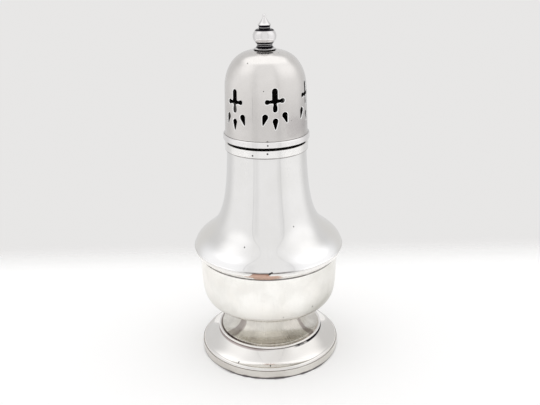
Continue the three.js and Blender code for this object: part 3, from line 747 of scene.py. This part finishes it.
def make_finial():
    outer = [(PEG_HOLE, DOME_TOP), (SEAT_RADIUS - 0.5, DOME_TOP), (SEAT_RADIUS, DOME_TOP + 0.3),
             (SEAT_RADIUS, DOME_TOP + 0.48), (SEAT_RADIUS - 0.3, DOME_TOP + 0.66),
             (SEAT_RADIUS - 0.9, SEAT_TOP), (PEG_HOLE, SEAT_TOP)]
    turned("cover", "finial_seat", "cast_plate", [cast_plate], outer, steps=FINIAL_STEPS, edge=0.12)

    crown = DOME_TOP - COVER_WALL
    peg = [(0.0, FINIAL_FOOT), (BURR_RADIUS, FINIAL_FOOT), (BURR_RADIUS, crown), (PEG_RADIUS, crown),
           (PEG_RADIUS, SEAT_TOP)]
    # The rings of both necks, as steps up and out
    lower_rings = [(0.02, 0.5), (0.25, 0.5), (0.38, 0.22), (0.46, 0.22), (0.55, 0.36), (0.65, 0.36),
                   (0.74, 0.1), (0.95, 0.1), (1.05, 0.4), (1.15, 0.46), (1.25, 0.4), (1.32, 0.3)]
    upper_rings = [(0.12, -0.05), (0.3, -0.1), (0.44, 0.0), (0.55, 0.06), (0.66, 0.0), (0.8, -0.08),
                   (1.3, 0.1)]
    lower_neck = [(SEAT_RADIUS - 1.4 + out, SEAT_TOP + up) for up, out in lower_rings]
    upper_neck = [(SPIRE_RADIUS - 0.3 + out, BALL_TOP + up) for up, out in upper_rings]
    middle = (NECK_TOP + BALL_TOP) / 2
    ball = between(half_round((0.0, middle), BALL_RADIUS, BALL_HALF_HEIGHT, 64), NECK_TOP, BALL_TOP)
    foot = (SPIRE_RADIUS, SPIRE_FOOT + 0.1)
    top = (0.44, foot[1] + 2.55)
    spire = sweep(foot, (foot[0] - 0.6, foot[1] + 0.65), (top[0] + 0.5, top[1] - 1.0), top)
    tip = between(half_round((0.0, top[1] + 0.35), 0.62, 0.5, 24), top[1], TIP)
    outer = [*peg, *lower_neck, *ball, *upper_neck, (SPIRE_RADIUS, SPIRE_FOOT), *spire, *tip[1:-1],
             (0.0, tip[-1][1])]
    turned("cover", "finial", "cast_plate", [finial_plate], outer, steps=FINIAL_STEPS, edge=0.1)


# Pierced dome: the motifs are drawn flat, as signed distances to their outlines

MOTIFS = 6
MOTIF_TURN = 12.5
BACK_MOTIF = 3
BACK_MOTIF_DRIFT = 7.5
PIERCING_SLOPE = 0.06
CROSS_HEIGHT = RIM_TOP + 13.2
DROP_HEIGHT = RIM_TOP + 5.7
SIDE_DROP = (3.65, DROP_HEIGHT + 1.7)
SIDE_DROP_LEAN = 17
CHAMFER = 0.2
TRACE_STEP = 0.22

HALF_SECTOR = pi / MOTIFS
SECTOR_STEPS = 40
BAND_FOOT = RIM_TOP + 2.4
BAND_TOP = RIM_TOP + 19.4
GRID = 0.55
ROWS = round((BAND_TOP - BAND_FOOT) / GRID)
ROW_HEIGHTS = [BAND_FOOT + (BAND_TOP - BAND_FOOT) * j / ROWS for j in range(1, ROWS)]


def dome_face():
    radius = DOME_FOOT_RADIUS - 0.4
    foot = (radius, RIM_TOP + 1.6)
    spring = (radius - 0.4, RIM_TOP + 15.95)
    crown = (3.5, DOME_TOP)
    face = sweep((DOME_FOOT_RADIUS, RIM_TOP), (radius, RIM_TOP + 0.5), (radius, foot[1] - 0.5), foot, 8)
    shares = [i / 24 for i in range(1, 24)]
    face += [(foot[0] + (spring[0] - foot[0]) * t, foot[1] + (spring[1] - foot[1]) * t) for t in shares]
    face += sweep(spring, (spring[0] - 0.3, spring[1] + 7.4), (crown[0] + 6.2, DOME_TOP - 0.1), crown, 40)
    return face


def stroke(x, z, start, end, radius):
    """Distance to a stroke with round ends, or to a disc where it starts and ends at one point."""
    line = (end[0] - start[0], end[1] - start[1])
    length = line[0]**2 + line[1]**2 or 1.0
    share = limited(((x - start[0]) * line[0] + (z - start[1]) * line[1]) / length, 0.0, 1.0)
    return hypot(x - start[0] - share * line[0], z - start[1] - share * line[1]) - radius


def joined(first, *others, rounding=0.35):
    """The nearest of the distances, rounded where two meet, as a file leaves a corner."""
    for other in others:
        h = max(rounding - abs(first - other), 0.0) / rounding
        first = min(first, other) - h * h * rounding / 4
    return first


def cross_shape(x, z):
    """A broad upper arm, cut off level at its foot, and three thin arms that end in buds."""
    arm, bud = 0.55, 0.8
    upper = max(stroke(x, z, (0, -1), (0, 3.3), 1.0), -0.45 - z)
    side = abs(x)
    return joined(upper,
                  stroke(x, z, (0, 0), (0, -2.8), arm), stroke(x, z, (0, -2.0), (0, -2.8), bud),
                  stroke(side, z, (0, 0), (2.6, 0), arm), stroke(side, z, (2.65, 0), (2.65, 0), bud))


def drop_shape(x, z):
    """Round end up, and narrowing to a small tip."""
    top, low, big, small = 0.9, -1.65, 1.0, 0.25
    across, along, length = abs(x), top - z, top - low
    slope = (big - small) / length
    side = sqrt(1 - slope * slope)
    reached = along * side - across * slope
    if reached < 0:
        return hypot(across, along) - big
    if reached > side * length:
        return hypot(across, along - length) - small
    return across * side + along * slope - big


def placed(shape, centre, lean=0.0):
    c, s = cos(radians(lean)), sin(radians(lean))

    def moved(x, z):
        dx, dz = x - centre[0], z - centre[1]
        return shape(dx * c + dz * s, dz * c - dx * s)

    return moved


def slope_of(shape, x, z, step=0.002):
    gx = (shape(x + step, z) - shape(x - step, z)) / (2 * step)
    gz = (shape(x, z + step) - shape(x, z - step)) / (2 * step)
    length = hypot(gx, gz) or 1.0
    return gx / length, gz / length


def settle(shape, x, z, distance):
    """The point moved to where the shape's distance is the given one."""
    for _ in range(6):
        gx, gz = slope_of(shape, x, z)
        off = shape(x, z) - distance
        x, z = x - gx * off, z - gz * off
    return x, z


def trace(shape, start, distance):
    """Points round the shape at a distance, anticlockwise."""
    x, z = settle(shape, *start, distance)
    points = [(x, z)]
    while len(points) < 9 or hypot(x - points[0][0], z - points[0][1]) >= TRACE_STEP * 0.9:
        gx, gz = slope_of(shape, x, z)
        x, z = settle(shape, x - gz * TRACE_STEP, z + gx * TRACE_STEP, distance)
        points.append((x, z))
    return points[:-1]


def motif_holes():
    """For each hole: its outline a chamfer outside the cut, and the cut itself, in the motif's own frame."""
    places = [(cross_shape, (0, CROSS_HEIGHT), 0, 4.4), (drop_shape, (0, DROP_HEIGHT), 0, 2.0)]
    for side in (-1, 1):
        places.append((drop_shape, (side * SIDE_DROP[0], SIDE_DROP[1]), side * SIDE_DROP_LEAN, 2.0))
    holes = []
    for drawn, centre, lean, above in places:
        shape = placed(drawn, centre, lean)
        outline = trace(shape, (centre[0], centre[1] + above), CHAMFER)
        holes.append((outline, [settle(shape, x, z, 0.0) for x, z in outline]))
    return holes


def in_any(outlines, x, z):
    """Whether the point is inside one of the closed outlines."""
    for outline in outlines:
        hit = False
        last = outline[-1]
        for point in outline:
            if (point[1] > z) != (last[1] > z):
                if x < (last[0] - point[0]) * (z - point[1]) / (last[1] - point[1]) + point[0]:
                    hit = not hit
            last = point
        if hit:
            return True
    return False


def radius_by_height(profile):
    radii, heights = zip(*profile)
    return lambda z: float(np.interp(z, heights, radii))


class Dome(Shell):
    """The dome. Its pierced band has pairs of points, one on the outer face and one on the inner."""

    def __init__(self):
        super().__init__(MOTIFS * SECTOR_STEPS, radians(MOTIF_TURN) - HALF_SECTOR)
        face = dome_face()
        inner = lining(face, COVER_WALL, RIM_TOP, DOME_TOP - COVER_WALL)[::-1]
        self.radii = (radius_by_height(face), radius_by_height(inner))
        # Over the band the section runs up the outside, over the peg hole and back down the inside
        up = [*between(face, BAND_TOP, DOME_TOP), (PEG_HOLE, DOME_TOP)]
        down = [(PEG_HOLE, DOME_TOP - COVER_WALL), *between(inner, BAND_TOP, DOME_TOP)[::-1]]
        over = self.revolve(up + down, [0] * len(up) + [1] * len(down))
        # Under the band it runs down the inside and up again outside
        down, up = between(inner, RIM_TOP, BAND_FOOT)[::-1], between(face, RIM_TOP, BAND_FOOT)
        under = self.revolve(down + up, [1] * len(down) + [0] * len(up))
        self.top_pairs = list(zip(over[0], over[-1]))
        self.foot_pairs = list(zip(under[-1], under[0]))
        self.columns = [[self.pair(self.first + k * 2 * HALF_SECTOR, 0.0, z) for z in ROW_HEIGHTS]
                        for k in range(MOTIFS)]

    def pair(self, middle, local, z, drift=0.0):
        """Cuts go straight in from the front of the motif, and fade to radial at the sector's edge."""
        outer, inner = (radius(z) for radius in self.radii)
        straight = drift + asin(limited(outer * sin(local - drift) / inner, -1.0, 1.0))
        share = limited((0.97 * HALF_SECTOR - abs(local)) / (0.27 * HALF_SECTOR), 0.0, 1.0)
        inner_local = local + (straight - local) * share * share * (3 - 2 * share)
        return self.point(middle + local, outer, z), self.point(middle + inner_local, inner, z)

    def corner(self, pair, side, step=0.05):
        """A point of a pair and its normal. Side 0 is the outer face, and 1 the inner."""
        index, radius, out = pair[side], self.radii[side], 1 - 2 * side
        z = self.vertices[index][2]
        lean = (radius(z + step) - radius(z - step)) / (2 * step)
        return index, self.normal(index, out, -out * lean)

    def on_wall(self, x, z, middle, drift):
        """The local turn and the height of a point drawn flat, on the sloping line of the piercing."""
        height = z
        for _ in range(4):
            radius = self.radii[0](height)
            local = drift + asin(limited(x / radius, -1.0, 1.0))
            height = z + PIERCING_SLOPE * radius * sin(middle + local)
        return local, height

    def edge_hole(self, middle, rim, cuts):
        """The chamfer and the wall of a hole, from its rim's pairs and from where the wall starts.

        The rim runs anticlockwise seen from outside, and the wall faces into the hole.
        """
        count = len(rim)
        tops = [self.corner(pair, 0) for pair in rim]
        sunk = [self.point(middle + local, self.radii[0](z) - CHAMFER, z) for local, z in cuts]
        walls, edges = [], []
        for i in range(count):
            before, here, after = (Vector(self.vertices[sunk[(i + k) % count]]) for k in (-1, 0, 1))
            wall = Vector((here.x, here.y, 0)).normalized().cross(after - before).normalized()
            walls.append(tuple(wall))
            edges.append(tuple((Vector(tops[i][1]) * 1.3 + wall).normalized()))
        for b in range(count):
            a = b - 1
            self.face([tops[a], tops[b], (sunk[b], edges[b]), (sunk[a], edges[a])], 3)
            ends = ((sunk[a], a), (sunk[b], b), (rim[b][1], b), (rim[a][1], a))
            self.face([(index, walls[n]) for index, n in ends], 2)

    def add_sector(self, k, holes):
        """The part of the band round one motif, as a net drawn flat and laid on both faces."""
        middle = radians(MOTIF_TURN) + k * 2 * HALF_SECTOR
        drift = radians(BACK_MOTIF_DRIFT) if k == BACK_MOTIF else 0.0
        flat_radius = self.radii[0](BAND_FOOT)
        flat, pairs, edges = [], [], []

        def add(local, z, pair=None):
            flat.append(Vector((local * flat_radius, z)))
            pairs.append(pair or self.pair(middle, local, z, drift))
            return len(flat) - 1

        def add_row(z, ring):
            start = k * SECTOR_STEPS
            return [add(-HALF_SECTOR + i * self.step, z, ring[(start + i) % self.steps])
                    for i in range(SECTOR_STEPS + 1)]

        def add_column(local, column, foot, top):
            return [foot, *(add(local, z, pair) for z, pair in zip(ROW_HEIGHTS, column)), top]

        foot = add_row(BAND_FOOT, self.foot_pairs)
        top = add_row(BAND_TOP, self.top_pairs)
        left = add_column(-HALF_SECTOR, self.columns[k], foot[0], top[0])
        right = add_column(HALF_SECTOR, self.columns[(k + 1) % MOTIFS], foot[-1], top[-1])
        for line in (foot, top, left, right):
            edges += zip(line[:-1], line[1:])
        outlines, rims = [], []
        for outline, cut in holes:
            spots = [self.on_wall(x, z, middle, drift) for x, z in outline]
            rim = [add(*spot) for spot in spots]
            edges += zip(rim, rim[1:] + rim[:1])
            outlines.append([(local * flat_radius, z) for local, z in spots])
            rims.append((rim, [self.on_wall(x, z, middle, drift) for x, z in cut]))

        # Between the outlines the net is even, with every other row moved by about half a step
        borders = np.concatenate(outlines)
        for j, z in enumerate(ROW_HEIGHTS):
            odd = j % 2
            for i in range(1, SECTOR_STEPS - odd):
                local = -HALF_SECTOR + (i + 0.49 * odd) * self.step
                x = local * flat_radius
                clear = np.hypot(borders[:, 0] - x, borders[:, 1] - z).min() >= 0.45 * GRID
                if clear and not in_any(outlines, x, z):
                    add(local, z)

        places, _, triangles, sources = delaunay_2d_cdt(flat, edges, [], 0, TINY, True)[:4]
        for triangle in triangles:
            a, b, c = (places[n] for n in triangle)
            if in_any(outlines, *((a + b + c) / 3)):
                continue
            corners = [pairs[sources[n][0]] for n in triangle]
            if (b - a).cross(c - a) < 0:
                corners.reverse()
            self.face([self.corner(pair, 0) for pair in corners], 0)
            self.face([self.corner(pair, 1) for pair in reversed(corners)], 1)
        for rim, cuts in rims:
            self.edge_hole(middle, [pairs[n] for n in rim], cuts)


def make_dome():
    dome = Dome()
    holes = motif_holes()
    for k in range(MOTIFS):
        dome.add_sector(k, holes)
    dome.dress("cover", "cover_dome", "cover_plate", [dome_plate, aged_and_shaded_inside, cut_plate, rubbed_and_highlit_edge_plate])


# Stage

FLOOR_SIDE = 300
FLOOR_FRONT = -200
FLOOR_BACK = 100
LAMP_HALF_WIDTH = 250
LAMP_HALF_DEPTH = 160
LAMP_MIDDLE = 65
LAMP_HEIGHT = 420

# Light of the tent, by the side it comes from, and how much paler the table top looks than it is lit
PANEL_LIGHT = 0.925
PANEL_LINE_LIGHT = 0.73
PANEL_HALF_TURN = 37.0
BAND_TURNS = (-29.0, 34.0)
BAND_LIGHT = 0.845
LEFT_LIGHT = 0.945
RIGHT_LIGHT = 0.985
BACK_LIGHT = 0.735
BELOW_LIGHT = 0.92
# Each lamp's turn, rise, radius and soft edge in degrees, and its light
SIDE_LAMPS = ((-78, 44, 18, 12, 1.14), (84, 38, 25, 12, 1.14),
              (-128, 59, 14, 10, 1.45), (128, 59, 14, 10, 1.45))
LAMP_LIGHT = 1.25
FLOOR_LIFT = 0.09
BACKDROP = (0.805, 0.797, 0.79)


def card(name, start, end, height, material):
    """A level rectangle between two corners. It faces up where start is its left front corner."""
    mesh = bpy.data.meshes.new(name)
    corners = (start, (end[0], start[1]), end, (start[0], end[1]))
    mesh.from_pydata([(MM * x, MM * y, MM * height) for x, y in corners], [], [(0, 1, 2, 3)])
    mesh.materials.append(material)
    new_object(name, mesh)


def make_floor():
    """A pale table top that fades out into the backdrop a little behind the caster."""
    skin = Skin("floor_paper")
    tone = skin.mix(skin.noise(6.0), (0.95, 0.945, 0.94), (0.965, 0.96, 0.955))
    # A painted contact shadow: a dark line on the table round where the foot stands, where the table's lift
    # is also left out
    beyond = skin.less(skin.radius, FOOT_RADIUS)
    painted_contact_shadow = skin.product(skin.fade(beyond, 0.0, dirt_and_shadow_reach(skin), 0.9, 0.0), in_front(skin))
    paper = skin.add("BsdfDiffuse", {"Color": skin.mix(painted_contact_shadow, tone, (0.10, 0.085, 0.10))})
    rays = ("Is Camera Ray", "Is Glossy Ray", "Is Transmission Ray")
    seen = skin.most(*(skin.add("LightPath", out=ray) for ray in rays))
    glow = skin.add("Emission", {"Strength": skin.product(seen, FLOOR_LIFT, skin.less(1.0, painted_contact_shadow))})
    deep = skin.band(skin.y, (FLOOR_FRONT + 5, FLOOR_FRONT + 60), (FLOOR_BACK - 5, FLOOR_BACK - 45))
    wide = skin.fade(skin.size(skin.x), FLOOR_SIDE - 10, FLOOR_SIDE - 100)
    both = skin.add("AddShader", {0: paper, 1: glow})
    material = skin.finish_faded(skin.product(deep, wide), both)
    card("floor", (-FLOOR_SIDE, FLOOR_FRONT), (FLOOR_SIDE, FLOOR_BACK), 0, material)


def grey(value):
    return value, value, value * 1.003


def make_tent():
    """A pale tent: a panel in front with thin darker edges, brighter sides and a greyer back."""
    world = bpy.data.worlds.new("tent")
    bpy.context.scene.world = world
    graph = Graph(world)
    direction = graph.add("TexCoord")
    x, y, z = graph.split(direction)
    rise = graph.math("DEGREES", graph.math("ARCSINE", z))
    turn = graph.math("DEGREES", graph.turn_of(x, y))
    bands = graph.product(graph.near(turn, BAND_TURNS, 11.0), graph.fade(rise, 55, 30))
    lines = graph.near(turn, (-PANEL_HALF_TURN, PANEL_HALF_TURN), 1.6)
    shares = [(bands, BAND_LIGHT), (lines, PANEL_LINE_LIGHT), (graph.fade(turn, -38, -64), LEFT_LIGHT),
              (graph.fade(turn, 40, 66), RIGHT_LIGHT), (graph.fade(graph.size(turn), 95, 130), BACK_LIGHT),
              (graph.fade(rise, -20, -40), BELOW_LIGHT)]
    for at_turn, at_rise, radius, edge, light in SIDE_LAMPS:
        across, up = radians(at_turn), radians(at_rise)
        towards = (sin(across) * cos(up), -cos(across) * cos(up), sin(up))
        facing = graph.add("VectorMath", {0: direction, 1: towards}, out=1, operation="DOT_PRODUCT")
        away = graph.math("DEGREES", graph.math("ARCCOSINE", facing))
        shares.append((graph.fade(away, radius + edge, radius - edge), light))
    shown = grey(PANEL_LIGHT)
    for share, light in shares:
        shown = graph.mix(share, shown, grey(light))
    shown = graph.mix(graph.add("LightPath", out="Is Camera Ray"), shown, BACKDROP)
    graph.add("OutputWorld", {"Surface": graph.add("Background", {"Color": shown})})


def make_lamp():
    """A soft oval lamp overhead, most of it behind the object, facing down."""
    skin = Skin("lamp_cloth")
    across = skin.product(skin.x, 1 / LAMP_HALF_WIDTH)
    along = skin.product(skin.less(skin.y, LAMP_MIDDLE), 1 / LAMP_HALF_DEPTH)
    light = skin.add("Emission", {"Strength": LAMP_LIGHT})
    material = skin.finish_faded(skin.fade(skin.squares(across, along), 1.0, 0.75), light)
    front, back = LAMP_MIDDLE - LAMP_HALF_DEPTH, LAMP_MIDDLE + LAMP_HALF_DEPTH
    card("lamp", (LAMP_HALF_WIDTH, front), (-LAMP_HALF_WIDTH, back), LAMP_HEIGHT, material)


def make_camera():
    data = bpy.data.cameras.new("camera")
    data.lens = CAMERA_LENS
    data.clip_start = 0.01

    def turn(degrees, axis):
        return Matrix.Rotation(radians(degrees), 4, axis)

    aim = turn(-CAMERA_YAW, "Z") @ turn(90 - CAMERA_DOWN, "X") @ turn(CAMERA_ROLL, "Z")
    camera = new_object("camera", data)
    camera.matrix_world = Matrix.Translation(Vector(CAMERA_PLACE) * MM) @ aim
    bpy.context.scene.camera = camera


make_camera()
make_foot()
make_bowl()
make_girdle()
make_bell()
make_cover_mouth()
make_dome()
make_finial()
make_floor()
make_tent()
make_lamp()
bpy.context.scene.view_settings.view_transform = "Standard"
